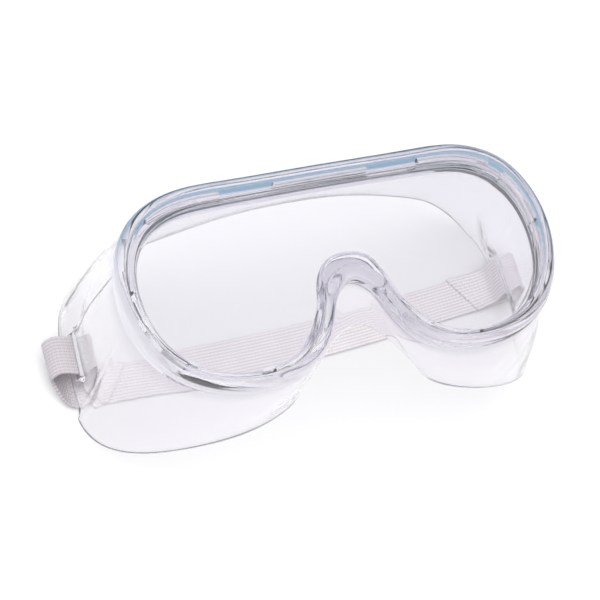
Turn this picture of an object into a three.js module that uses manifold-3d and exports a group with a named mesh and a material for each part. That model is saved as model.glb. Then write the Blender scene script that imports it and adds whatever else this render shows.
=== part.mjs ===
// Clear splash goggles: a soft PVC frame, one wide lens and an elastic strap.
// Millimetres. +Z out through the lens, +Y towards the forehead, +X towards the wearer's left.
// The goggles lie lens up on the rear edges of the side walls and on the strap, at Z = 0.
import * as THREE from "three";
import { mergeVertices } from "three/addons/utils/BufferGeometryUtils.js";
import Module from "manifold-3d";

const wasm = await Module();
wasm.setup();

// ---- driving dimensions ----
const LENS_Z = 86;          // height of the lens crown above the table
const LENS_RADIUS = 500;    // the lens and the rim are bent on this radius about Y
const RIM_FRONT = 3.0;      // the rim stands this far in front of the lens crown
const RIM_REAR = 7.0;       // and reaches this far behind it
const SEAT_WALL = 4.2;      // thickness of the rim's outer wall, around the lens seat
const SEAT_DEPTH = 1.6;     // the lens seat lies this far behind the lens crown
const LENS_THICKNESS = 1.6;
const FLANGE_HEIGHT = 2.4;  // the lens's raised edge, in front of the crown
const BROW_CUT = 56;        // the rim's upper stretch is this wide on each side of the nose
const BROW_CUT_Y = 15;      // and lies above this Y
const NOSE_CUT = -26;       // its nose stretch ends at this Y
const NOSE_HALF = 30;       // half width of a box round the nose notch
const NOSE_TOP = 10;        // and the top of that box
const FLANGE_OPEN = 9.5;    // half width of the gap in the raised edge, over the nose
const WALL = 2.0;           // thickness of the soft walls
const GAP = 0.3;            // between pieces that rest on each other

const FOOTPRINT_Y = 1.64;   // the middle of the footprint, from the lens's own centre line

const STRAP_WIDTH = 15;
const STRAP_THICK = 1.3;
const BAND_HALF = 45;       // half length of the flat run of the strap
const BAND_Y = 2;           // the flat run's centre line
const EAR_SHIFT = 9;        // the strap's centre line climbs this far up to the slots
const SLOT_Z = 13.2;        // middle of the strap slot
const SLOT_HEIGHT = 4.4;
const SLOT_LENGTH = 18.5;
const SLOT_X = [70, 100];   // the slot and the notch are cut through everything between these
const NOTCH_TOP = 6.0;      // the rear edge is cut back this far where the strap goes round it
const NOTCH_Y = [-6, 16];

const WALL_JOIN = 0.012;    // gap between neighbouring walls, in key steps of the face edge
const CUT_X = 120;          // half sizes of the boxes that cut the goggles up, larger than the goggles
const CUT_Y = 80;
const CUT_TOP = 120;
const PRISM_HALF = 30;      // half depth of the prisms that the rim and the lens are cut from

// ---- outlines: one half each, from the nose round to the forehead, x and y ----
const RIM_OUTER = [
  [0, -9.5], [4.5, -12], [9.5, -20.5], [16, -32], [27, -39.5], [40, -41.3], [54, -38.4], [66.5, -30.5],
  [75.5, -17], [79.6, 1], [77.5, 16], [69.5, 29], [55, 36], [35, 36.6], [0, 36.1],
];
const RIM_INNER = [
  [0, 0.4], [5.7, 0.1], [9, -3], [13, -13], [18.5, -24], [26, -31.6], [38, -35.2], [50, -33.6],
  [60, -28.4], [68, -18], [72, -3], [70.8, 11], [65.5, 21], [56, 27], [40, 28.6], [0, 28.4],
];
// where the soft walls leave the rim (x, y) and where they end against the face (x, y, depth behind the crown)
const WALL_ROOT = [
  [0, -6], [8, -14], [14.5, -26], [31, -37.8], [48, -37], [62, -30], [73.6, -14],
  [75.8, 6], [71.5, 20.5], [60, 30.6], [42, 33], [21, 33], [0, 32.6],
];
const FACE_EDGE = [
  [0, -21, 12], [13.7, -29, 17], [23, -36.5, 26], [38, -42, 33], [54, -41, 43.5], [71.5, -34, 61],
  [85, -17, 81], [87.3, 8, 87.5], [84, 32, 87.5], [70, 45, 76], [50, 43, 56], [24, 42, 43], [0, 40.5, 37],
];

// ---- shapes ----
function mirrored(half) {
  const other = half.slice(1, -1).reverse();
  return half.concat(other.map(([x, ...rest]) => [-x, ...rest]));
}

function closedCurve(half) {
  const points = mirrored(half).map(([x, y, z = 0]) => new THREE.Vector3(x, y, z));
  return new THREE.CatmullRomCurve3(points, true, "centripetal");
}

function outline(half, count = 110) {
  return closedCurve(half).getPoints(count).slice(0, -1).map((p) => new THREE.Vector2(p.x, p.y));
}

// moves a counter-clockwise outline inwards
function inset(points, distance) {
  return points.map((p, i) => {
    const before = points[(i + points.length - 1) % points.length];
    const after = points[(i + 1) % points.length];
    const along = after.clone().sub(before).normalize();
    return new THREE.Vector2(p.x - along.y * distance, p.y + along.x * distance);
  });
}

function bendDrop(x) {
  return LENS_RADIUS - Math.sqrt(LENS_RADIUS * LENS_RADIUS - x * x);
}

function solidOf(geometry) {
  const bare = geometry.index ? geometry.clone() : geometry;
  bare.deleteAttribute("normal");
  bare.deleteAttribute("uv");
  const merged = mergeVertices(bare, 1e-4);
  const vertProperties = new Float32Array(merged.attributes.position.array);
  const triVerts = new Uint32Array(merged.index.array);
  return new wasm.Manifold(new wasm.Mesh({ numProp: 3, vertProperties, triVerts }));
}

function geometryOf(solid) {
  const mesh = solid.getMesh();
  const geometry = new THREE.BufferGeometry();
  geometry.setAttribute("position", new THREE.BufferAttribute(mesh.vertProperties, 3));
  geometry.setIndex(new THREE.BufferAttribute(mesh.triVerts, 1));
  geometry.computeVertexNormals();
  return geometry;
}

// a straight prism over an outline, with an optional hole
function prism(points, hole) {
  const shape = new THREE.Shape(points);
  if (hole) shape.holes.push(new THREE.Path(hole));
  const geometry = new THREE.ExtrudeGeometry(shape, { depth: 2 * PRISM_HALF, bevelEnabled: false });
  geometry.translate(0, 0, LENS_Z - PRISM_HALF);
  return solidOf(geometry);
}

// a plate that follows the lens's bend, between two distances in front of the lens crown
function bentPlate(rear, front) {
  const geometry = new THREE.BoxGeometry(200, 120, front - rear, 32, 1, 1);
  geometry.translate(0, 0, LENS_Z + (front + rear) / 2);
  const position = geometry.attributes.position;
  for (let i = 0; i < position.count; i++) {
    position.setZ(i, position.getZ(i) - bendDrop(position.getX(i)));
  }
  return solidOf(geometry);
}

function box(x0, x1, y0, y1, z0, z1) {
  const geometry = new THREE.BoxGeometry(x1 - x0, y1 - y0, z1 - z0);
  geometry.translate((x0 + x1) / 2, (y0 + y1) / 2, (z0 + z1) / 2);
  return solidOf(geometry);
}

// a closed slab over a grid of points, thickened against each point's normal
function slab(rows, normals, thickness) {
  const across = rows[0].length;
  const outer = rows.flat();
  const inner = outer.map((p, i) => p.clone().addScaledVector(normals.flat()[i], -thickness));
  const offset = outer.length;
  const index = [];
  const quad = (a, b, c, d) => index.push(a, b, c, a, c, d);
  const last = rows.length - 1;
  for (let i = 0; i < last; i++) {
    for (let j = 0; j < across - 1; j++) {
      const a = i * across + j;
      quad(a, a + across, a + across + 1, a + 1);
      quad(offset + a, offset + a + 1, offset + a + across + 1, offset + a + across);
    }
    const low = i * across;
    const high = low + across - 1;
    quad(low, offset + low, offset + low + across, low + across);
    quad(high, high + across, offset + high + across, offset + high);
  }
  for (let j = 0; j < across - 1; j++) {
    const end = last * across + j;
    quad(j, j + 1, offset + j + 1, offset + j);
    quad(end, offset + end, offset + end + 1, end + 1);
  }
  const geometry = new THREE.BufferGeometry().setFromPoints(outer.concat(inner));
  geometry.setIndex(index);
  return solidOf(geometry);
}

// ---- the soft walls ----
const rootCurve = closedCurve(WALL_ROOT.map(([x, y]) => [x, y, LENS_Z - RIM_REAR + WALL - bendDrop(x)]));
const edgeCurve = closedCurve(FACE_EDGE.map(([x, y, depth]) => [x, y, LENS_Z - depth]));
const KEY_COUNT = mirrored(FACE_EDGE).length;

function wallPoints(key) {
  const t = ((key + KEY_COUNT) % KEY_COUNT) / KEY_COUNT;
  const root = rootCurve.getPoint(t);
  const edge = edgeCurve.getPoint(t);
  return [root, root.clone().lerp(edge, 0.5), edge];
}

// the wall between two key points of the face edge; a fraction is part of the way to the next one
function wall(from, to, steps) {
  const rows = [];
  const normals = [];
  for (let i = 0; i <= steps; i++) {
    const key = from + ((to - from) * i) / steps;
    const row = wallPoints(key);
    const before = wallPoints(key - 0.05);
    const after = wallPoints(key + 0.05);
    const down = row[2].clone().sub(row[0]);
    rows.push(row);
    normals.push(row.map((p, j) => after[j].clone().sub(before[j]).cross(down).normalize()));
  }
  return slab(rows, normals, WALL).subtract(bentPlate(-RIM_REAR - GAP, 20));
}

// ---- the strap: ribbons along a path in x and z, level in y ----
function ribbon(path, shiftOf) {
  const curve = new THREE.CatmullRomCurve3(path.map(([x, z]) => new THREE.Vector3(x, 0, z)), false, "centripetal");
  const steps = Math.max(4, Math.round(curve.getLength() / 2.2));
  const spine = curve.getSpacedPoints(steps);
  const side = (sign) => spine.map((p, i) => {
    const along = spine[Math.min(i + 1, steps)].clone().sub(spine[Math.max(i - 1, 0)]).normalize();
    return new THREE.Vector2(p.x - sign * along.z * STRAP_THICK / 2, p.z + sign * along.x * STRAP_THICK / 2);
  });
  const shape = new THREE.Shape(side(-1).concat(side(1).reverse()));
  const geometry = new THREE.ExtrudeGeometry(shape, { depth: STRAP_WIDTH, bevelEnabled: false });
  geometry.rotateX(Math.PI / 2);
  geometry.translate(0, STRAP_WIDTH / 2, 0);
  const position = geometry.attributes.position;
  for (let i = 0; i < position.count; i++) {
    position.setY(i, position.getY(i) + shiftOf(position.getX(i), position.getZ(i)));
  }
  return solidOf(geometry);
}

function strapY(x, z) {
  const out = THREE.MathUtils.smoothstep(x, BAND_HALF, 80);
  return BAND_Y + EAR_SHIFT * (0.4 * out + 0.6 * THREE.MathUtils.smoothstep(z, 1, SLOT_Z) * out);
}

const HALF_THICK = STRAP_THICK / 2;
const SIDE_PATH = [[BAND_HALF + GAP, HALF_THICK], [58, 0.7], [70, 0.75]];
const LOOP_PATH = [
  [70 + GAP, 0.75], [80, 0.8], [87.5, 1.3], [92.8, 3.8], [95.2, 8.2], [93.8, 12.4], [89.6, 14.3],
  [85.8, 13.9], [83.4, 12.1], [82.5, 9.8],
];
const TAIL_PATH = [[82.4, 9.4], [82.3, 7], [80.9, 4.4], [78.2, 2.9], [74.5, 2.45], [70.8, 2.45]];
const TACK = { near: 71.8, far: 74.4, low: 3.35, high: 3.75, width: 12 };

// ---- assembly ----
const pvc = () => new THREE.MeshStandardMaterial({ color: "#dcdae6", roughness: 0.16, metalness: 0 });
const polycarbonate = () => new THREE.MeshStandardMaterial({ color: "#f1f1f8", roughness: 0.05, metalness: 0 });
const webbing = () => new THREE.MeshStandardMaterial({ color: "#e7e3ea", roughness: 0.9, metalness: 0 });
const thread = () => new THREE.MeshStandardMaterial({ color: "#f2f0f4", roughness: 0.8, metalness: 0 });

const goggles = new THREE.Group();
goggles.position.y = -FOOTPRINT_Y;

function add(name, solid, material, flip = false) {
  const placed = flip ? solid.mirror([1, 0, 0]) : solid;
  const mesh = new THREE.Mesh(geometryOf(placed), material);
  mesh.name = name;
  goggles.add(mesh);
}

function addPair(name, solid, material) {
  add(`${name}_left`, solid, material(), false);
  add(`${name}_right`, solid, material(), true);
}

// the part of a ring on the +X side, without its brow and nose stretches
function sideOf(ring, brow, nose) {
  return ring.subtract(brow).subtract(nose).intersect(box(0, CUT_X, -CUT_Y, CUT_Y, 0, CUT_TOP));
}

function buildRim() {
  const outer = outline(RIM_OUTER);
  const seat = inset(outer, SEAT_WALL);
  const inner = outline(RIM_INNER);
  const wallRing = prism(outer, seat).intersect(bentPlate(-RIM_REAR, RIM_FRONT));
  const ledge = prism(outer, inner).intersect(bentPlate(-RIM_REAR, -SEAT_DEPTH - LENS_THICKNESS));
  const ring = wallRing.add(ledge);
  const brow = (gap) => box(-BROW_CUT - gap, BROW_CUT + gap, BROW_CUT_Y, CUT_Y, 0, CUT_TOP);
  const nose = (gap) => box(-NOSE_HALF, NOSE_HALF, NOSE_CUT - gap, NOSE_TOP, 0, CUT_TOP);
  add("rim_brow", ring.intersect(brow(0)), pvc());
  add("rim_nose", ring.intersect(nose(0)), pvc());
  addPair("rim_side", sideOf(ring, brow(GAP), nose(GAP)), pvc);
}

function buildLens() {
  const edge = inset(outline(RIM_OUTER), SEAT_WALL + GAP);
  const window = outline(RIM_INNER);
  const front = -SEAT_DEPTH + GAP;
  add("lens", prism(edge).intersect(bentPlate(front - LENS_THICKNESS, front)), polycarbonate());
  const flange = prism(edge, window).intersect(bentPlate(front + GAP, FLANGE_HEIGHT));
  const nose = box(-FLANGE_OPEN, FLANGE_OPEN, -CUT_Y, NOSE_TOP, 0, CUT_TOP);
  const middle = box(-GAP / 2, GAP / 2, NOSE_TOP, CUT_Y, 0, CUT_TOP);
  addPair("lens_flange", sideOf(flange, middle, nose), polycarbonate);
}

function buildWalls() {
  const slotY = BAND_Y + EAR_SHIFT;
  const slot = box(SLOT_X[0], SLOT_X[1], slotY - SLOT_LENGTH / 2, slotY + SLOT_LENGTH / 2,
    SLOT_Z - SLOT_HEIGHT / 2, SLOT_Z + SLOT_HEIGHT / 2);
  const notch = box(SLOT_X[0], SLOT_X[1], NOTCH_Y[0], NOTCH_Y[1], -NOTCH_TOP, NOTCH_TOP);
  const aboveTable = box(-CUT_X, CUT_X, -CUT_Y, CUT_Y, 0, CUT_TOP);
  const side = wall(5 + WALL_JOIN, 9 - WALL_JOIN, 24).intersect(aboveTable).subtract(slot).subtract(notch);
  add("nose_saddle", wall(-2 + WALL_JOIN, 2 - WALL_JOIN, 20), pvc());
  addPair("cheek_wall", wall(2 + WALL_JOIN, 5 - WALL_JOIN, 14), pvc);
  addPair("side_wall", side, pvc);
  add("brow_wall", wall(9 + WALL_JOIN, 15 - WALL_JOIN, 24), pvc());
}

function buildStrap() {
  const flat = ribbon([[-BAND_HALF, HALF_THICK], [0, HALF_THICK], [BAND_HALF, HALF_THICK]], () => BAND_Y);
  add("strap_band", flat, webbing());
  addPair("strap_side", ribbon(SIDE_PATH, strapY), webbing);
  addPair("strap_loop", ribbon(LOOP_PATH, strapY), webbing);
  addPair("strap_tail", ribbon(TAIL_PATH, strapY), webbing);
  const tackY = strapY(TACK.near, TACK.low);
  const tack = box(TACK.near, TACK.far, tackY - TACK.width / 2, tackY + TACK.width / 2, TACK.low, TACK.high);
  addPair("bar_tack", tack, thread);
}

buildRim();
buildLens();
buildWalls();
buildStrap();

export default goggles;
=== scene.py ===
"""The look of the clear splash goggles: soft PVC frame, wide lens and ribbed elastic strap."""
import math

import bmesh
import bpy
import numpy as np
from mathutils import Matrix, Vector
from mathutils.geometry import delaunay_2d_cdt


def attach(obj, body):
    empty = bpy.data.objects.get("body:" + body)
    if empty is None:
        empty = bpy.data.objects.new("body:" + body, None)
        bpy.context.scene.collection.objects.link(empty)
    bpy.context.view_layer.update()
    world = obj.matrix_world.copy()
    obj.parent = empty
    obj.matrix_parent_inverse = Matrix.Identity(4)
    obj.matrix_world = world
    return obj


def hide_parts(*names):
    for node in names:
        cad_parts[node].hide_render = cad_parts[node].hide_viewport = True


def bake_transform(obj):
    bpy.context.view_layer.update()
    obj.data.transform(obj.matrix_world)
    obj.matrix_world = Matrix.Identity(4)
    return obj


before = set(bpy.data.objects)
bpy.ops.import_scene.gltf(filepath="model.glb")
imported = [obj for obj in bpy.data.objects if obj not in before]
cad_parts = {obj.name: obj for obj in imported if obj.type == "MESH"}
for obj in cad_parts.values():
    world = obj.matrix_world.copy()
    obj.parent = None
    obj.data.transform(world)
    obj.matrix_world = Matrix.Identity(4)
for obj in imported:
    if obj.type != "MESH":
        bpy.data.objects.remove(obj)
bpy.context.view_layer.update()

# ---- driving dimensions, in millimetres, in the frame of the CAD before it is centred ----
MM = 0.001
CROWN_Z = 86.0  # the lens crown's height above the table
FOOTPRINT_Y = 1.64  # the footprint's middle, from the lens's centre line
BEND_RADIUS = 500.0  # of the lens and the rim, about Y
SEAT_WALL = 4.2  # the width of the rim's front face, from the outline in to the seat
SEAT = -3.2  # the lens seat, from the crown
PLATE = 1.6  # lens thickness
FLANGE_TOP = 2.4  # the top of the lens's raised edge, from the crown
FLANGE_OPEN = 9.5  # half width of the gap in the raised edge, over the nose
NOSE_SIDE_Y = 10.0  # the rim is the nose's side below this
FILL_STEP = 4.0  # between the points of the lens plate
FLANGE_WALL = 1.3  # the thin part of the raised edge, over the nose
CLIPS = [(77, 0.5, 2), (65, -32, 2), (37.5, -41.6, 2.5), (68, 27, 3.5), (27, 36, 9)]  # x, y, half length
CLIP_NOTCH = 0.75  # of the clip recesses, outwards from the raised edge's inner face
CLIP_DIP = 1.1  # and downwards
PLATE_MARGIN = 0.9  # between the rim and the plain part of the plate
ON_PLATE = 0.01  # a point this near to either face belongs to it
GAP = 0.3  # between the lens and its seat
WALL = 2.0

STRAP_WIDTH = 15.0
STRAP_THICK = 1.3
BAND_Y = 2.0  # the flat run of the strap
SLOT_Y = BAND_Y + 9.0  # the slots lie nearer the brow
SLOT_Z = 13.2
SLOT_HEIGHT = 4.4
SLOT_LENGTH = 18.5
SLOT_CORNER = 1.3
NOTCH_TOP = 6.0  # of the notch for the strap in the rear edge of each ear
NOTCH_LOW_Y = (-9.0, -6.5)
NOTCH_HIGH_Y = (20.0, 22.5)
NOTCH_X = 78.0

# half outlines: the curves pass through these points and are mirrored to -X
RIM_OUTER = [
    (0, -9.5), (4.5, -12), (9.5, -20.5), (16, -32), (27, -39.5), (40, -41.3), (54, -38.4), (66.5, -30.5),
    (75.5, -17), (79.6, 1), (77.5, 16), (69.5, 29), (55, 36), (35, 36.6), (0, 36.1),
]
RIM_INNER = [
    (0, 0.9), (5.4, 0.7), (9, -2.3), (12.6, -13), (18.5, -24), (26, -31.6), (38, -35.2), (50, -33.6),
    (60, -28.4), (68, -18), (72, -3), (70.8, 11), (65.5, 21), (56, 27), (40, 28.6), (0, 28.4),
]
WALL_ROOT = [
    (0, -6), (8, -14), (14.5, -26), (31, -37.8), (48, -37), (62, -30), (73.6, -14),
    (75.8, 6), (71.5, 20.5), (60, 30.6), (42, 33), (21, 33), (0, 32.6),
]
FACE_EDGE = [  # x, y and the depth below the lens crown; one point for each of the wall's roots
    (0, -21, 12), (13.7, -29, 17), (23, -36.5, 26), (38, -42, 33), (54, -41, 43.5), (71.5, -34, 61),
    (85, -17, 81), (87.3, 8, 87.5), (84, 32, 87.5), (70, 45, 76), (50, 43, 56), (24, 42, 43), (0, 40.5, 37),
]

AROUND = 640  # steps round the rim
INNER_STEPS = 1200  # round its inner edge, which only gives the rim's width
NOSE_WIDER = 1.5  # how much wider the rim's front face is over the nose
NOSE_FADE = (5.0, 13.0)  # and where that ends, along the outline


# ---- curves ----
def mirrored(half):
    """The whole outline from its +X half; the first and last points lie on the mirror plane."""
    return list(half) + [(-p[0], *p[1:]) for p in reversed(half[1:-1])]


def closed_spline(points, knots, period):
    """A smooth closed curve through the points, as a function of an array of parameters."""
    p = np.asarray(points, float)
    t = np.append(knots, knots[0] + period)
    n = len(p)
    h = np.diff(t)
    a = np.zeros((n, n))
    b = np.zeros((n, p.shape[1]))
    for i in range(n):
        before, after = h[i - 1], h[i]
        a[i, i - 1] += before / 6
        a[i, i] += (before + after) / 3
        a[i, (i + 1) % n] += after / 6
        b[i] = (p[(i + 1) % n] - p[i]) / after - (p[i] - p[i - 1]) / before
    m = np.linalg.solve(a, b)

    def at(s):
        s = (np.asarray(s, float) - t[0]) % period + t[0]
        k = np.clip(np.searchsorted(t, s, side="right") - 1, 0, n - 1)
        j = (k + 1) % n
        w = ((s - t[k]) / h[k])[:, None]
        hk = (h[k] ** 2 / 6)[:, None]
        v = 1 - w
        return v * p[k] + w * p[j] + hk * ((v**3 - v) * m[k] + (w**3 - w) * m[j])

    return at


def closed_outline(half, count):
    """Points evenly spaced along a mirrored closed outline, from the nose round by +X."""
    points = np.array(mirrored(half), float)
    steps = np.linalg.norm(np.roll(points, -1, axis=0) - points, axis=1)
    knots = np.concatenate([[0], np.cumsum(steps)[:-1]])
    curve = closed_spline(points, knots, steps.sum())
    fine = np.linspace(0, steps.sum(), 6001)
    dense = curve(fine)
    dense[-1] = dense[0]
    along = np.concatenate([[0], np.cumsum(np.linalg.norm(np.diff(dense, axis=0), axis=1))])
    return curve(np.interp(np.linspace(0, along[-1], count, endpoint=False), along, fine))


def smooth(low, high, x):
    """0 before low, 1 after high and smooth between; low may be the larger."""
    w = np.clip((np.asarray(x, float) - low) / (high - low), 0, 1)
    return w * w * (3 - 2 * w)


def evened(values, times, axis=0):
    """The values of a closed row, with each one drawn towards its neighbours."""
    for _ in range(times):
        values = 0.25 * np.roll(values, 1, axis) + 0.5 * values + 0.25 * np.roll(values, -1, axis)
    return values


def drop(x):
    """How far the bent lens lies below its crown."""
    return BEND_RADIUS - np.sqrt(BEND_RADIUS**2 - np.asarray(x) ** 2)


def ray_lengths(starts, directions, loop):
    """How far each ray runs before it meets the closed loop."""
    a = loop
    e = np.roll(loop, -1, axis=0) - loop
    lengths = np.empty(len(starts))
    for i, (s, d) in enumerate(zip(starts, directions)):
        cross = d[0] * e[:, 1] - d[1] * e[:, 0]
        cross[np.abs(cross) < 1e-12] = 1e-12
        r = a - s
        u = (r[:, 0] * e[:, 1] - r[:, 1] * e[:, 0]) / cross
        v = (r[:, 0] * d[1] - r[:, 1] * d[0]) / cross
        lengths[i] = u[(v >= 0) & (v <= 1) & (u > 0)].min()
    return lengths


outer = closed_outline(RIM_OUTER, AROUND)
ahead = np.roll(outer, -1, axis=0) - np.roll(outer, 1, axis=0)
ahead /= np.linalg.norm(ahead, axis=1)[:, None]
outward = np.stack([ahead[:, 1], -ahead[:, 0]], axis=1)
rim_width = ray_lengths(outer, -outward, closed_outline(RIM_INNER, INNER_STEPS))
rim_width = evened(rim_width, 3)  # softens the corner over the nose
STEP = np.linalg.norm(outer[1] - outer[0])
from_nose = np.minimum(np.arange(AROUND), AROUND - np.arange(AROUND)) * STEP  # along the outline
seat_wall = SEAT_WALL + NOSE_WIDER * (1 - smooth(*NOSE_FADE, from_nose))


def rim_points(inward, height):
    """One closed row of points: inward from the outline and in front of the lens crown's level."""
    return bent(outer - outward * np.broadcast_to(inward, AROUND)[:, None], height)


def bent(xy, height):
    """Points at a height from the lens crown that follow the lens's bend."""
    return np.column_stack([xy, CROWN_Z + height - drop(xy[:, 0])])


def face_edge():
    """The rear edge of the walls, one point for each step round the rim."""
    keys = len(WALL_ROOT) - 1
    half = outer[: AROUND // 2 + 1]
    at = [np.linalg.norm(half - root, axis=1).argmin() / AROUND for root in WALL_ROOT]
    at[0], at[keys] = 0.0, 0.5
    knots = at + [1 - a for a in reversed(at[1:keys])]
    edge = closed_spline(mirrored(FACE_EDGE), knots, 1.0)(np.arange(AROUND) / AROUND)
    x, y, depth = edge.T
    z = np.maximum(CROWN_Z - depth, 0)
    notch = (np.abs(x) > NOTCH_X) * smooth(*NOTCH_LOW_Y, y) * (1 - smooth(*NOTCH_HIGH_Y, y))
    return np.column_stack([x, y, z + (NOTCH_TOP - z) * notch * (z < NOTCH_TOP)])


# ---- meshes ----
def new_piece(name, points, faces, smooth_angle=32.0):
    """A mesh object from points in millimetres, in the uncentred frame."""
    mesh = bpy.data.meshes.new(name)
    rows = np.asarray(points, float).reshape(-1, 3) - (0, FOOTPRINT_Y, 0)
    mesh.from_pydata((rows * MM).tolist(), [], faces)
    obj = bpy.data.objects.new(name, mesh)
    bpy.context.scene.collection.objects.link(obj)
    bm = bmesh.new()
    bm.from_mesh(mesh)
    bmesh.ops.remove_doubles(bm, verts=bm.verts, dist=1e-7)
    bmesh.ops.recalc_face_normals(bm, faces=bm.faces)
    bm.to_mesh(mesh)
    bm.free()
    finish_shading(mesh, smooth_angle)
    return obj


def add_values(obj, label, values):
    """Stores one value for each point of the mesh, for its material to read."""
    attribute = obj.data.attributes.new(label, "FLOAT", "POINT")
    attribute.data.foreach_set("value", np.asarray(values, np.float32))


def finish_shading(mesh, smooth_angle):
    mesh.shade_smooth()
    mesh.set_sharp_from_angle(angle=math.radians(smooth_angle))


def loft_faces(rows, columns, wrap_rows):
    """Quads over a grid whose columns close on themselves."""
    faces = []
    for i in range(rows if wrap_rows else rows - 1):
        for j in range(columns):
            k = (j + 1) % columns
            up = (i + 1) % rows
            faces.append((i * columns + j, i * columns + k, up * columns + k, up * columns + j))
    return faces


def boolean(target, cutter, operation):
    modifier = target.modifiers.new(operation, "BOOLEAN")
    modifier.operation = operation
    modifier.object = cutter
    modifier.solver = "EXACT"
    depsgraph = bpy.context.evaluated_depsgraph_get()
    mesh = bpy.data.meshes.new_from_object(target.evaluated_get(depsgraph))
    target.modifiers.clear()
    target.data = mesh
    bpy.data.objects.remove(cutter)


def rounded_prism(name, length, height, radius, x_low, x_high, centre_y, centre_z, steps=6):
    """A bar along X whose section has round corners."""
    section = []
    for corner in range(4):
        sy = 1 if corner in (0, 3) else -1
        sz = 1 if corner in (0, 1) else -1
        for i in range(steps + 1):
            angle = math.pi / 2 * (corner + i / steps)
            section.append((
                centre_y + sy * (length / 2 - radius) + radius * math.cos(angle),
                centre_z + sz * (height / 2 - radius) + radius * math.sin(angle),
            ))
    points = [(x, y, z) for x in (x_low, x_high) for y, z in section]
    n = len(section)
    faces = [(i, (i + 1) % n, n + (i + 1) % n, n + i) for i in range(n)]
    faces += [tuple(range(n)), tuple(range(n, 2 * n))]
    return new_piece(name, points, faces)


# ---- the soft frame ----
# The rim's section. Each point is measured inwards from the outline (edge), inwards from the seat's wall
# (seat) or outwards from the rim's inner edge (lip); its height is from the lens crown.
RIM_FRONT_PROFILE = [
    ("lip", 0.0, -5.4), ("lip", 0.0, -4.1), ("lip", 0.2, -3.5), ("lip", 0.75, SEAT), ("seat", 0.8, SEAT),
    ("seat", 0.2, SEAT + 0.03), ("seat", 0.0, -2.9), ("seat", 0.0, -1.0), ("seat", 0.0, 1.5),
    ("seat", -0.12, 2.3), ("seat", -0.5, 2.8), ("seat", -1.1, 3.0), ("edge", 2.5, 3.0), ("edge", 1.6, 2.8),
    ("edge", 0.85, 2.3), ("edge", 0.3, 1.5), ("edge", 0.03, 0.5), ("edge", 0.0, -0.5), ("edge", 0.1, -1.6),
    ("edge", 0.4, -2.6), ("edge", 0.75, -3.3), ("edge", 1.0, -4.0), ("edge", 1.15, -4.8),
]
RIM_REAR_PROFILE = [
    ("edge", 3.9, -9.4), ("edge", 4.3, -8.2), ("edge", 5.1, -7.3), ("lip", 1.2, -7.0), ("lip", 0.4, -6.85),
    ("lip", 0.05, -6.35),
]
ROOT = (3.2, -6.0)  # where the walls leave the rim
WALL_ROWS = 64
ROW_CROWDING = 1.25  # above 1, the rows lie closer together towards the rear edge
BULGE = 0.9  # of the walls, outwards halfway down
EAR_X = (70.0, 78.0)
EAR_LOW_Y = (-14.0, -4.0)
EAR_HIGH_Y = (24.0, 34.0)
EAR_BOW = 2.4  # how far the ear's wall bows inwards in front of the slot
EAR_BOW_Z = 19.0
EAR_BOW_SPREAD = 14.0
SLOT_LIP = 0.55  # the raised lip round each slot
SLOT_LIP_FADE = (1.2, 2.6)  # from the slot's edge
SLOT_CUT_X = (74.0, 98.0)
RIDGE_X = (82.6, 84.6)  # the ridge along the front of each slot
RIDGE_Z = 17.0
RIDGE_HEIGHT = 1.4
RIDGE_CORNER = 0.65
RIDGE_LONGER = 1.5  # than the slot
REAR_EDGE = (1.65, 1.0, 0.35)  # points across the rounded rear edge of the walls
EDGE_ROUND = 0.45  # how far the walls' two faces stop short of it
EDGE_EASE = 0.1
REFLECTION_DEPTH = (2.8, 1.2)  # the painted blue reflection fades out over this distance from the outline
# where the painted blue reflection lies: on the stretches of the rim that face the brow and +X
REFLECTION_FACING = (-0.25, 0.45)
REFLECTION_SIDES = 0.12  # how much a sideways stretch of the rim counts as facing the brow
REFLECTION_PLUS_X = 0.38  # and how much more on the +X side
SHADE_FADE_ROWS = 10  # of the wall, over which the rim's painted shade fades out
RIM_SHADE_SHARE = 0.55
NOSE_SHADE_FADE = (22.0, 42.0)  # along the rim, from the nose


def profile_rows(profile):
    """The rows of points round the rim for each point of its section."""
    rows = []
    for side, distance, height in profile:
        inward = {"lip": rim_width - distance, "seat": seat_wall + distance, "edge": distance}[side]
        rows.append(rim_points(inward, height))
    return rows


def wall_normals(body):
    """The outward directions of the walls' inner faces."""
    along = np.roll(body, -1, axis=1) - np.roll(body, 1, axis=1)
    across = np.gradient(body, axis=0)
    normal = np.cross(across, along)
    normal /= np.maximum(np.linalg.norm(normal, axis=2), 1e-9)[..., None]
    normal = evened(normal, 4, axis=1)
    return normal / np.linalg.norm(normal, axis=2)[..., None]


def wall_swell(body, down):
    """How far the walls stand outwards: a gentle bulge, and the ears' bow inwards."""
    x, y, z = body[..., 0], body[..., 1], body[..., 2]
    ear = smooth(*EAR_X, np.abs(x)) * smooth(*EAR_LOW_Y, y) * (1 - smooth(*EAR_HIGH_Y, y))
    bow = EAR_BOW * ear * np.exp(-(((z - EAR_BOW_Z) / EAR_BOW_SPREAD) ** 2))
    return BULGE * np.sin(np.pi * down)[:, None] ** 2 * (1 - ear) - bow


def slot_lip(body):
    """The height of the lip round each slot."""
    x, y, z = body[..., 0], body[..., 1], body[..., 2]
    out_y = np.maximum(np.abs(y - SLOT_Y) - SLOT_LENGTH / 2, 0)
    out_z = np.maximum(np.abs(z - SLOT_Z) - SLOT_HEIGHT / 2, 0)
    return SLOT_LIP * (1 - smooth(*SLOT_LIP_FADE, np.hypot(out_y, out_z))) * (np.abs(x) > EAR_X[0])


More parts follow.
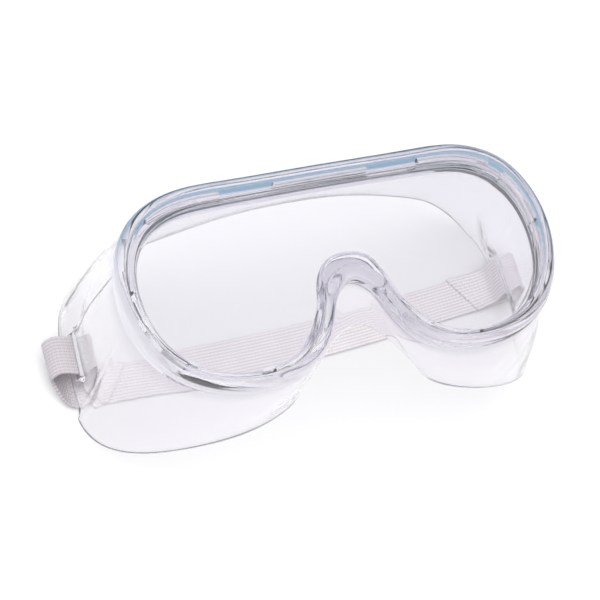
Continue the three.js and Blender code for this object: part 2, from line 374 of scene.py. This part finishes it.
def wall_rows():
    """Rows of points down the outside of the walls, round their rear edge and back up the inside."""
    root = rim_points(*ROOT)
    edge = face_edge()
    down = 1 - (1 - np.linspace(0, 1, WALL_ROWS)) ** ROW_CROWDING
    body = root + (edge - root) * down[:, None, None]
    normal = wall_normals(body)
    swell = wall_swell(body, down)
    front = body + normal * (WALL + swell + slot_lip(body))[..., None]
    back = body + normal * swell[..., None]
    tip = [edge + normal[-1] * distance for distance in REAR_EDGE]
    last = body[-2] - body[-1]
    length = np.linalg.norm(last, axis=1)[:, None]
    pull = last / length * np.minimum(1, 1.6 * length)  # less where the rows lie close together
    front[-1] += pull * EDGE_ROUND
    back[-1] += pull * EDGE_ROUND
    tip[0] += pull * EDGE_EASE
    tip[2] += pull * EDGE_EASE
    return [*front, *tip, *back[:2:-1]]


def painted_blue_reflection():
    """1 on the outer edge of the rim, along the brow and the +X side, where a blue reflection is painted.
    """
    facing = outward[:, 1] + REFLECTION_SIDES * np.abs(outward[:, 0]) + REFLECTION_PLUS_X * outward[:, 0]
    rows = []
    for side, distance, _ in RIM_FRONT_PROFILE:
        share = smooth(*REFLECTION_DEPTH, distance) if side == "edge" else 0.0
        rows.append(share * smooth(*REFLECTION_FACING, facing))
    return rows


def depth_and_shade(count):
    """How dark the moulding is painted at each point: the rim, and most of all beside the nose; painted
    shade and reflection, with a little of the thick plastic's own tone.
    """
    front, back = len(RIM_FRONT_PROFILE), count - len(RIM_REAR_PROFILE)
    row = np.arange(count)
    rim = np.maximum(1 - smooth(front, front + SHADE_FADE_ROWS, row), smooth(back - SHADE_FADE_ROWS, back, row))
    near_nose = 1 - smooth(*NOSE_SHADE_FADE, from_nose)
    return rim[:, None] * (RIM_SHADE_SHARE + (1 - RIM_SHADE_SHARE) * near_nose[None, :])


def cut_slot(obj, side):
    """Cuts the slot through one ear and adds the ridge in front of it."""
    low, high = sorted(side * x for x in SLOT_CUT_X)
    cutter = rounded_prism("slot_cutter", SLOT_LENGTH, SLOT_HEIGHT, SLOT_CORNER, low, high, SLOT_Y, SLOT_Z)
    boolean(obj, cutter, "DIFFERENCE")
    low, high = sorted(side * x for x in RIDGE_X)
    length = SLOT_LENGTH + RIDGE_LONGER
    ridge = rounded_prism("slot_ridge", length, RIDGE_HEIGHT, RIDGE_CORNER, low, high, SLOT_Y, RIDGE_Z)
    boolean(obj, ridge, "UNION")


def build_soft_frame():
    rows = profile_rows(RIM_FRONT_PROFILE) + wall_rows() + profile_rows(RIM_REAR_PROFILE)
    rows = [np.column_stack([r[:, 0], r[:, 1], np.maximum(r[:, 2], 0)]) for r in rows]
    obj = new_piece("soft_frame", np.array(rows), loft_faces(len(rows), AROUND, True))
    # painted reflection: the rim's outer edge is painted blue along the brow and the +X side
    painted_tone = np.zeros(len(rows) * AROUND)
    painted_tone[:len(RIM_FRONT_PROFILE) * AROUND] = np.ravel(painted_blue_reflection())
    add_values(obj, "painted_blue_reflection", painted_tone)
    # painted shade: the rim is painted darker, most of all beside the nose
    add_values(obj, "depth_and_shade", depth_and_shade(len(rows)).ravel())
    for side in (-1, 1):
        cut_slot(obj, side)
    finish_shading(obj.data, smooth_angle=40)
    return obj


# ---- the lens ----
def clip_places():
    """1 for each step round the rim that has a clip recess, else 0."""
    step = np.arange(AROUND)
    clip = np.zeros(AROUND)
    for place_x, place_y, half_length in CLIPS:
        for side in (-1, 1):
            middle_step = np.hypot(outer[:, 0] - side * place_x, outer[:, 1] - place_y).argmin()
            away = np.abs((step - middle_step + AROUND // 2) % AROUND - AROUND // 2) * STEP
            clip[away < half_length] = 1
    return clip


def lens_edge(rear, plate_top):
    """The section of the lens's edge, from its rear face round by the outside: (inward, height)."""
    edge_in = seat_wall + GAP
    over_nose = (np.abs(outer[:, 0]) < FLANGE_OPEN) & (outer[:, 1] < NOSE_SIDE_Y)
    top = np.where(over_nose, plate_top, FLANGE_TOP)
    raised = top - plate_top
    wall_in = rim_width - FLANGE_WALL  # over the nose only this thin wall is raised
    notch = edge_in + CLIP_NOTCH * clip_places()
    dip = CLIP_DIP * clip_places()
    return [
        (rim_width - 0.5, rear),
        (edge_in + 0.3, rear),
        (edge_in, rear + 0.25),
        (edge_in, plate_top - 0.1),
        (notch, plate_top + raised * 0.75 - dip),
        (notch + 0.15, plate_top + raised * 0.93 - dip),
        (notch + 0.5, top - dip),
        (np.maximum(wall_in - 0.1, edge_in + 1.4), top),
        (np.maximum(wall_in, edge_in + 1.5), FLANGE_TOP - 0.12 + 0.12 * (raised > 1)),
        (wall_in + 0.3, FLANGE_TOP),
        (rim_width - 0.45, FLANGE_TOP - 0.7),
        (rim_width - 0.12, FLANGE_TOP - 1.0),
        (rim_width, FLANGE_TOP - 1.5),
        (rim_width, plate_top + 0.4),
        (rim_width + 0.3, plate_top + 0.05),
    ]


def build_lens():
    rear = SEAT + GAP
    plate_top = rear + PLATE
    foot = outer - outward * (rim_width + PLATE_MARGIN)[:, None]
    rows = [rim_points(inward, height) for inward, height in lens_edge(rear, plate_top)]
    rows = [bent(foot, rear), *rows, bent(foot, plate_top)]
    points = [np.concatenate(rows)]
    faces = loft_faces(len(rows), AROUND, False)
    spots, triangles = fill(foot)
    for height in (rear, plate_top):
        first = sum(len(p) for p in points)
        faces += [tuple(first + i for i in triangle) for triangle in triangles]
        points.append(bent(spots, height))
    obj = new_piece("clear_lens", np.concatenate(points), faces)
    true_bend(obj.data)
    return obj


def fill(loop):
    """Small triangles that fill a closed loop, and their points."""
    low, high = loop.min(axis=0), loop.max(axis=0)
    after = np.roll(loop, -1, axis=0)
    spots = []
    for x in np.arange(low[0], high[0], FILL_STEP):
        for y in np.arange(low[1], high[1], FILL_STEP):
            across = (loop[:, 1] > y) != (after[:, 1] > y)
            a, b = loop[across], after[across]
            beyond = a[:, 0] + (b[:, 0] - a[:, 0]) * (y - a[:, 1]) / (b[:, 1] - a[:, 1]) > x
            if np.count_nonzero(beyond) % 2 and np.hypot(*(loop - (x, y)).T).min() > FILL_STEP / 3:
                spots.append((x, y))
    inputs = [Vector(p) for p in [*loop, *spots]]
    points, _, triangles, *_ = delaunay_2d_cdt(inputs, [], [list(range(len(loop)))], 1, 1e-6)
    return np.array([tuple(p) for p in points]), triangles


def true_bend(mesh):
    """Gives both faces of the plate the exact normals of its bend."""
    corners = np.empty(len(mesh.loops) * 3, np.float32)
    mesh.corner_normals.foreach_get("vector", corners)
    corners = corners.reshape(-1, 3)
    places = np.empty(len(mesh.vertices) * 3, np.float32)
    mesh.vertices.foreach_get("co", places)
    owners = np.empty(len(mesh.loops), np.int32)
    mesh.loops.foreach_get("vertex_index", owners)
    x, _, z = places.reshape(-1, 3)[owners].T / MM
    height = z + drop(x) - CROWN_Z
    flat = (np.abs(height - SEAT - GAP) < ON_PLATE) | (np.abs(height - SEAT - GAP - PLATE) < ON_PLATE)
    slope = x / BEND_RADIUS
    exact = np.column_stack([slope, 0 * x, np.sqrt(1 - slope**2)]) * np.sign(corners[:, 2:])
    corners[flat] = exact[flat]
    mesh.normals_split_custom_set(corners.tolist())


# ---- the strap ----
LOOP_PATH = [  # x and z of the strap's middle, from the middle of the flat run to the sewn end
    (0, 0.65), (15, 0.65), (30, 0.65), (45.3, 0.65), (58, 0.7), (70, 0.7), (80, 0.75), (87.5, 1.3),
    (92.8, 3.8), (95.4, 8.2), (93.8, 12.4), (89.6, 14.5), (85.8, 14.1), (83.6, 12.3), (82.7, 9.8),
    (82.4, 7.0), (81.2, 4.2), (78.4, 2.5), (74.5, 2.05), (70.8, 2.05),
]
PATH_STEP = 0.8
STRAP_ASIDE = 0.9  # of the flat run, towards the brow
CLIMB = 0.105  # the slope of the flat run on the +X side
CLIMB_EASE = 15.0  # the strap turns into that slope over about this distance
LOOP_ASIDE = 1.6  # of the outside of each loop, towards the brow
LOOP_ASIDE_X = (86.0, 93.0)
RISE_Z = (0.8, 7.0)  # the strap moves from its flat line to the slot's over this height
RISE_X = (70.0, 80.0)
TAIL_SLANT = -0.6  # how far the sewn end is cut on the skew
TAIL_SLANT_LENGTH = 9.0
RIBS = 12
RIB_HEIGHT = 0.07
EDGE_SOFT = 0.3  # the strap's rounded edges
LOOP_SHADE_FROM = (84.0, 92.0)  # along the strap: where the loops, painted greyer as shade, begin
LOOP_SHADE_TO = (113.0, 120.0)
LOOP_SHADE = {1: 0.35, -1: 1.0}  # how much painted shade each loop gets
STITCH_LINES = (2.0, 4.4)  # from the sewn end
STITCH_MARGIN = 2.0  # on both sides together
STITCH_LIFT = 0.02
STITCH_SINK = 0.12  # of each thread's ends
STITCH_SLANT = 0.75  # of the tail's own slant
STITCH_LENGTH = 1.5
STITCH_GAP = 0.45
STITCH_RADIUS = 0.2
STITCH_AROUND = 8  # points round each thread
STITCH_RINGS = 7  # and rings along it


def strap_y(x, z, sign):
    """The strap lies a little askew: it climbs towards the brow on the +X side."""
    climb = CLIMB * CLIMB_EASE * np.log1p(np.exp(sign * x / CLIMB_EASE))
    flat = BAND_Y + STRAP_ASIDE + climb
    looped = SLOT_Y + LOOP_ASIDE * smooth(*LOOP_ASIDE_X, x)
    return flat + (looped - flat) * smooth(*RISE_Z, z) * smooth(*RISE_X, x)


def open_path(points, step):
    """Points evenly spaced on a smooth curve through the given points of the XZ plane."""
    p = np.array(points, float)
    turned = np.vstack([p, p[-2:0:-1]])
    lengths = np.linalg.norm(np.roll(turned, -1, axis=0) - turned, axis=1)
    knots = np.concatenate([[0], np.cumsum(lengths)[:-1]])
    curve = closed_spline(turned, knots, lengths.sum())
    fine = np.linspace(0, knots[len(p) - 1], 4001)
    dense = curve(fine)
    along = np.concatenate([[0], np.cumsum(np.linalg.norm(np.diff(dense, axis=0), axis=1))])
    even = np.linspace(0, along[-1], round(along[-1] / step) + 1)
    return curve(np.interp(even, along, fine)), even


def strap_section():
    """The strap's closed section: (across, up) with ribs along both faces."""
    half = STRAP_WIDTH / 2
    across = np.linspace(-half + EDGE_SOFT, half - EDGE_SOFT, 6 * RIBS + 1)
    rib = RIB_HEIGHT * (np.cos(2 * np.pi * RIBS * (across / STRAP_WIDTH + 0.5)) - 1) / 2
    up = STRAP_THICK / 2 + rib
    top = np.column_stack([across, up])
    side = [(half - 0.06, 0.35), (half, 0.0), (half - 0.06, -0.35)]
    bottom = np.column_stack([across[::-1], -up[::-1]])
    other = [(-half + 0.06, -0.35), (-half, 0.0), (-half + 0.06, 0.35)]
    return np.vstack([top, side, bottom, other])


def build_strap_half(name, sign):
    spine, along = open_path(LOOP_PATH, PATH_STEP)
    ahead_xz = np.gradient(spine, axis=0)
    ahead_xz /= np.linalg.norm(ahead_xz, axis=1)[:, None]
    section = strap_section()
    x = spine[:, 0, None] - ahead_xz[:, 1, None] * section[None, :, 1]
    z = spine[:, 1, None] + ahead_xz[:, 0, None] * section[None, :, 1]
    y = strap_y(spine[:, 0], spine[:, 1], sign)[:, None] + section[None, :, 0]
    slanting = smooth(along[-1] - TAIL_SLANT_LENGTH, along[-1], along)
    x = x + TAIL_SLANT * section[None, :, 0] * slanting[:, None]
    points = np.stack([sign * x, y, np.maximum(z, 0)], axis=2)
    columns = len(section)
    faces = loft_faces(len(spine), columns, False)
    faces += [tuple(range(columns)), tuple(range((len(spine) - 1) * columns, len(spine) * columns))]
    obj = new_piece(name, points, faces, smooth_angle=50)
    add_values(obj, "across", np.tile(section[:, 0], len(spine)))
    add_values(obj, "along", np.repeat(along, columns))
    # painted shade: the loops are painted greyer, the -X one most
    grey = smooth(*LOOP_SHADE_FROM, along) * (1 - smooth(*LOOP_SHADE_TO, along))
    add_values(obj, "loop_shade", np.repeat(grey * LOOP_SHADE[sign], columns))
    return obj


def one_stitch(middle, aside, sign):
    """The points of one thread stitch across the strap, ring by ring; aside is its place across."""
    x0, y0, z0 = middle
    points = []
    for ring in range(STITCH_RINGS):
        u = ring / (STITCH_RINGS - 1) * 2 - 1
        radius = STITCH_RADIUS * math.sqrt(max(1 - abs(u) ** 3, 0.02))
        y = aside + u * STITCH_LENGTH / 2
        for k in range(STITCH_AROUND):
            angle = 2 * math.pi * k / STITCH_AROUND
            x = x0 + TAIL_SLANT * y * STITCH_SLANT + radius * math.cos(angle)
            points.append((sign * x, y0 + y, z0 - STITCH_SINK * u * u + radius * math.sin(angle)))
    return points


def build_stitches(name, sign):
    """Rows of short thread stitches that hold the sewn end of the strap."""
    spine, along = open_path(LOOP_PATH, PATH_STEP)
    pitch = STITCH_LENGTH + STITCH_GAP
    count = int((STRAP_WIDTH - STITCH_MARGIN) / pitch)
    last_ring = (STITCH_RINGS - 1) * STITCH_AROUND
    points, faces = [], []
    for line in STITCH_LINES:
        x, z = (np.interp(along[-1] - line, along, spine[:, i]) for i in (0, 1))
        z = z + STRAP_THICK / 2 + STITCH_LIFT
        y = strap_y(x, z - STRAP_THICK / 2, sign)
        for i in range(count):
            first = len(points)
            points += one_stitch((x, y, z), (i - (count - 1) / 2) * pitch, sign)
            faces += [tuple(first + corner for corner in face)
                      for face in loft_faces(STITCH_RINGS, STITCH_AROUND, False)]
            faces.append(tuple(range(first, first + STITCH_AROUND)))
            faces.append(tuple(range(first + last_ring, first + last_ring + STITCH_AROUND)))
    return new_piece(name, points, faces, smooth_angle=60)


# ---- materials ----
# Colours are linear; scales are per metre; waves and bump distances are in metres.
PVC = {
    "colour": (0.94, 0.926, 0.957), "ior": 1.5, "rough": (0.02, 0.06), "wave": 0.00015, "haze": 0.045,
    # the rim's painted shade, darkest beside the nose, and the painted blue reflection on its outer edge
    "depth_shade_colour": (0.7, 0.685, 0.75), "edge": (0.12, 0.25, 0.41),
}
POLYCARBONATE = {
    "colour": (0.93, 0.922, 0.955), "ior": 1.56, "rough": (0.0, 0.02), "wave": 0.00004, "haze": 0.015,
}
CLOUDING = 160  # the scale of the plastics' uneven roughness
WAVINESS = 38  # and of their slow waves
SLANT_TURN = 3.2  # radians per millimetre: the slanting threads, across the strap
THREAD_TURN = 8.2  # and along it
PICK_TURN = 4.1  # the crosswise picks
THREAD_SHARE = 0.5  # of each in the webbing's bump and in its colour, where the low parts are painted darker as shade
RIB_SHARE = -0.42
PICK_SHARE = 0.15
FUZZ_SHARE = 0.6
FUZZ = 2600  # the scale of the fibres
SOILING = 90  # and of the slow changes of shade
WEBBING_DARK = (0.58, 0.535, 0.565, 1)
WEBBING_PALE = (0.88, 0.845, 0.865, 1)
# the grey painted on the loops as shade
LOOP_SHADE_COLOUR = (0.66, 0.65, 0.665, 1)
FIBRE = 3200
THREAD_DARK = (0.74, 0.72, 0.75, 1)
THREAD_PALE = (0.93, 0.92, 0.94, 1)
FLOOR_COLOUR = (0.8, 0.8, 0.805, 1)


class Nodes:
    """A short way to build a material's node tree."""

    def __init__(self, name):
        self.material = bpy.data.materials.new(name)
        self.material.use_nodes = True
        self.tree = self.material.node_tree
        self.tree.nodes.clear()
        self.output = self.add("ShaderNodeOutputMaterial")

    def add(self, kind, **settings):
        node = self.tree.nodes.new(kind)
        for key, value in settings.items():
            if hasattr(node, key) and key not in node.inputs:
                setattr(node, key, value)
            else:
                self.put(node.inputs[key], value)
        return node

    def put(self, socket, value):
        if isinstance(value, bpy.types.NodeSocket):
            self.tree.links.new(value, socket)
        else:
            socket.default_value = value

    def math(self, operation, a, b=0.0):
        node = self.add("ShaderNodeMath", operation=operation)
        self.put(node.inputs[0], a)
        self.put(node.inputs[1], b)
        return node.outputs[0]

    def value(self, label):
        """A value stored on the mesh's points."""
        return self.add("ShaderNodeAttribute", attribute_name=label).outputs["Fac"]

    def noise(self, scale, detail=3.0, roughness=0.5):
        place = self.add("ShaderNodeTexCoord")
        node = self.add("ShaderNodeTexNoise", Scale=scale, Detail=detail, Roughness=roughness)
        self.put(node.inputs["Vector"], place.outputs["Object"])
        return node.outputs["Fac"]

    def spread(self, value, low, high):
        node = self.add("ShaderNodeMapRange")
        self.put(node.inputs["Value"], value)
        node.inputs["To Min"].default_value = low
        node.inputs["To Max"].default_value = high
        return node.outputs["Result"]

    def bump(self, height, distance, strength=1.0):
        node = self.add("ShaderNodeBump", Strength=strength, Distance=distance)
        self.put(node.inputs["Height"], height)
        return node.outputs["Normal"]


def clear_plastic(name, colour, ior, rough, wave, haze, depth_shade_colour=None, edge=None):
    """Clear moulded plastic, a little hazy. The two optional colours paint shade on the rim, darkest beside
    the nose, and a blue reflection on its outer edge.
    """
    n = Nodes(name)
    body = n.add("ShaderNodeBsdfPrincipled")
    shown = (*colour, 1)
    # mixes in the painted shade and the painted blue reflection
    for label, other in (("depth_and_shade", depth_shade_colour), ("painted_blue_reflection", edge)):
        if other:
            painted_tone = n.add("ShaderNodeMix", data_type="RGBA")
            n.put(painted_tone.inputs[0], n.value(label))
            n.put(painted_tone.inputs[6], shown)
            painted_tone.inputs[7].default_value = (*other, 1)
            shown = painted_tone.outputs[2]
    n.put(body.inputs["Base Color"], shown)
    body.inputs["IOR"].default_value = ior
    body.inputs["Transmission Weight"].default_value = 1 - haze
    n.put(body.inputs["Roughness"], n.spread(n.noise(CLOUDING, 4), *rough))
    n.put(body.inputs["Normal"], n.bump(n.noise(WAVINESS, 2), wave))
    through = n.add("ShaderNodeBsdfTransparent")
    through.inputs["Color"].default_value = (1, 1, 1, 1)
    light = n.add("ShaderNodeLightPath")  # lamps shine straight through
    mix = n.add("ShaderNodeMixShader")
    n.put(mix.inputs[0], light.outputs["Is Shadow Ray"])
    n.put(mix.inputs[1], body.outputs[0])
    n.put(mix.inputs[2], through.outputs[0])
    n.put(n.output.inputs["Surface"], mix.outputs[0])
    return n.material


def webbing_material():
    """White woven elastic: ribs of warp, with fine slanting threads between them."""
    n = Nodes("woven_elastic")
    across = n.value("across")
    along = n.value("along")
    rib = n.math("COSINE", n.math("MULTIPLY", across, 2 * math.pi * RIBS / STRAP_WIDTH))
    flip = n.math("SIGN", n.math("SINE", n.math("MULTIPLY", across, math.pi * RIBS / STRAP_WIDTH)))
    slant = n.math("MULTIPLY", flip, n.math("MULTIPLY", across, SLANT_TURN))
    thread = n.math("SINE", n.math("ADD", n.math("MULTIPLY", along, THREAD_TURN), slant))
    pick = n.math("SINE", n.math("MULTIPLY", along, PICK_TURN))
    fuzz = n.noise(FUZZ, 3, 0.7)
    height = n.math("MULTIPLY", thread, THREAD_SHARE)
    for layer, share in ((rib, RIB_SHARE), (pick, PICK_SHARE), (fuzz, FUZZ_SHARE)):
        height = n.math("ADD", height, n.math("MULTIPLY", layer, share))
    # painted shade: the ramp paints the weave's low parts darker; the soiling noise adds slow random tone
    ramp = n.add("ShaderNodeValToRGB")
    ramp.color_ramp.elements[0].color = WEBBING_DARK
    ramp.color_ramp.elements[0].position = 0.12
    ramp.color_ramp.elements[1].color = WEBBING_PALE
    ramp.color_ramp.elements[1].position = 0.7
    shade_and_soiling = n.math("ADD", height, n.math("MULTIPLY", n.noise(SOILING, 3), 0.5))
    n.put(ramp.inputs[0], n.spread(shade_and_soiling, 0.05, 0.95))
    # painted shade on the loops
    shaded_loops = n.add("ShaderNodeMix", data_type="RGBA", blend_type="MULTIPLY")
    n.put(shaded_loops.inputs[0], n.value("loop_shade"))
    n.put(shaded_loops.inputs[6], ramp.outputs[0])
    shaded_loops.inputs[7].default_value = LOOP_SHADE_COLOUR
    body = n.add("ShaderNodeBsdfPrincipled")
    n.put(body.inputs["Base Color"], shaded_loops.outputs[2])
    n.put(body.inputs["Roughness"], n.spread(fuzz, 0.78, 0.95))
    body.inputs["Sheen Weight"].default_value = 0.25
    body.inputs["Sheen Roughness"].default_value = 0.45
    n.put(body.inputs["Normal"], n.bump(height, 0.00012, 0.8))
    n.put(n.output.inputs["Surface"], body.outputs[0])
    return n.material


def thread_material():
    """White twisted sewing thread."""
    n = Nodes("sewing_thread")
    body = n.add("ShaderNodeBsdfPrincipled")
    fibre = n.noise(FIBRE, 3, 0.7)
    ramp = n.add("ShaderNodeValToRGB")
    ramp.color_ramp.elements[0].color = THREAD_DARK
    ramp.color_ramp.elements[1].color = THREAD_PALE
    n.put(ramp.inputs[0], fibre)
    n.put(body.inputs["Base Color"], ramp.outputs[0])
    n.put(body.inputs["Roughness"], n.spread(fibre, 0.5, 0.7))
    body.inputs["Sheen Weight"].default_value = 0.15
    n.put(body.inputs["Normal"], n.bump(fibre, 0.00005))
    n.put(n.output.inputs["Surface"], body.outputs[0])
    return n.material


def floor_material():
    """Plain pale paper."""
    n = Nodes("pale_floor")
    body = n.add("ShaderNodeBsdfPrincipled")
    body.inputs["Base Color"].default_value = FLOOR_COLOUR
    n.put(body.inputs["Roughness"], n.spread(n.noise(14, 3), 0.6, 0.7))
    n.put(n.output.inputs["Surface"], body.outputs[0])
    return n.material


def dress(obj, material):
    """Gives a piece its Blender material."""
    obj.data.materials.clear()
    obj.data.materials.append(material)


# ---- the room: floor, light and camera ----
VIEW_LEFT = 17.607  # degrees that the camera stands to the left of the lens's axis
VIEW_BELOW = 21.227  # and below it, towards the chin
VIEW_ROLL = 17.089
VIEW_DISTANCE = 0.7244
VIEW_ASIDE = (0.0152, 0.01502)  # the lens crown's place beside the middle of the view
VIEW_WIDTHS = 3.5  # focal length, in widths of the view
SENSOR = 36.0
FLOOR_HALF = 3.0
FLOOR_DROP = 0.0002  # keeps the floor clear of the parts that lie on the table's plane
HORIZON = (0.72, 0.73, 0.79, 1)
ZENITH = (1.0, 1.0, 1.0, 1)
ZENITH_FROM = 0.8  # the sine of the elevation where the sky is white
WORLD_STRENGTH = 0.62
LAMPS = [  # name, place, target, size, watts, colour
    ("soft_box_top", (-0.15, -0.1, 1.3), (0, 0, 0.03), (1.6, 1.6), 20.5, (1.0, 1.0, 1.0)),
    ("soft_box_left", (-1.2, -0.5, 0.8), (0, 0, 0.04), (0.8, 1.0), 3.2, (1.0, 0.99, 1.0)),
]


def build_floor():
    mesh = bpy.data.meshes.new("floor")
    corners = [(x * FLOOR_HALF, y * FLOOR_HALF, 0) for x, y in ((-1, -1), (1, -1), (1, 1), (-1, 1))]
    mesh.from_pydata(corners, [], [(0, 1, 2, 3)])
    floor = bpy.data.objects.new("floor", mesh)
    floor.location.z = -FLOOR_DROP
    bpy.context.scene.collection.objects.link(floor)
    mesh.materials.append(floor_material())


def build_camera():
    left, below, roll = (math.radians(a) for a in (VIEW_LEFT, VIEW_BELOW, VIEW_ROLL))
    back = Vector((-math.sin(left) * math.cos(below), -math.sin(below), math.cos(left) * math.cos(below)))
    right = Vector((0, 1, 0)).cross(back).normalized()
    up = back.cross(right)
    level = Matrix((right, up, back)).transposed()
    turn = Matrix.Rotation(-roll, 3, "Z")
    axes = level @ turn
    crown = Vector((0, -FOOTPRINT_Y * MM, CROWN_Z * MM))
    camera = bpy.data.objects.new("camera", bpy.data.cameras.new("camera"))
    camera.data.sensor_width = SENSOR
    camera.data.lens = SENSOR * VIEW_WIDTHS
    camera.data.clip_start = 0.01
    place = crown + axes @ Vector((-VIEW_ASIDE[0], -VIEW_ASIDE[1], VIEW_DISTANCE))
    camera.matrix_world = Matrix.Translation(place) @ axes.to_4x4()
    bpy.context.scene.collection.objects.link(camera)
    bpy.context.scene.camera = camera


def area_light(name, place, target, size, watts, colour):
    data = bpy.data.lights.new(name, "AREA")
    data.shape = "RECTANGLE"
    data.size, data.size_y = size
    data.energy = watts
    data.color = colour
    light = bpy.data.objects.new(name, data)
    light.location = place
    light.rotation_euler = (Vector(target) - Vector(place)).to_track_quat("-Z", "Y").to_euler()
    bpy.context.scene.collection.objects.link(light)
    return light


def build_world():
    """A bright studio all round, a little darker towards the horizon."""
    world = bpy.data.worlds.new("studio")
    bpy.context.scene.world = world
    world.use_nodes = True
    tree = world.node_tree
    tree.nodes.clear()
    add = tree.nodes.new
    link = tree.links.new
    split = add("ShaderNodeSeparateXYZ")
    link(add("ShaderNodeTexCoord").outputs["Generated"], split.inputs[0])
    ramp = add("ShaderNodeValToRGB")
    link(split.outputs["Z"], ramp.inputs[0])
    stops = ramp.color_ramp.elements
    stops[0].position, stops[0].color = 0.0, HORIZON
    stops[1].position, stops[1].color = ZENITH_FROM, ZENITH
    background = add("ShaderNodeBackground")
    background.inputs["Strength"].default_value = WORLD_STRENGTH
    link(ramp.outputs[0], background.inputs["Color"])
    link(background.outputs[0], add("ShaderNodeOutputWorld").inputs[0])


def build_light():
    for lamp in LAMPS:
        light = area_light(*lamp)
        light.visible_glossy = False  # the world alone gives the reflections
        light.visible_transmission = False
    build_world()


def build_goggles():
    pvc = clear_plastic("clear_soft_pvc", **PVC)
    lens_plastic = clear_plastic("clear_polycarbonate", **POLYCARBONATE)
    elastic = webbing_material()
    thread = thread_material()

    soft_frame = build_soft_frame()
    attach(soft_frame, "frame")
    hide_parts("rim_brow", "rim_nose", "rim_side_left", "rim_side_right", "nose_saddle",
                "cheek_wall_left", "cheek_wall_right", "side_wall_left", "side_wall_right", "brow_wall")
    dress(soft_frame, pvc)

    lens = build_lens()
    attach(lens, "lens")
    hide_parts("lens", "lens_flange_left", "lens_flange_right")
    dress(lens, lens_plastic)

    for side, sign in (("left", 1), ("right", -1)):
        half = build_strap_half(f"strap_half_{side}", sign)
        nodes = [f"strap_{part}_{side}" for part in ("side", "loop", "tail")]
        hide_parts(*nodes, *(["strap_band"] if side == "left" else []))
        dress(half, elastic)
        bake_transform(half)

        stitches = build_stitches(f"stitches_{side}", sign)
        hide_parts(f"bar_tack_{side}")
        dress(stitches, thread)
        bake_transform(stitches)


build_goggles()
build_floor()
build_light()
build_camera()
bpy.context.scene.view_settings.view_transform = "Standard"
# light crosses many faces of the clear parts before it comes out
bpy.context.scene.cycles.transparent_max_bounces = 24
bpy.context.scene.cycles.transmission_bounces = 40
bpy.context.scene.cycles.max_bounces = 44
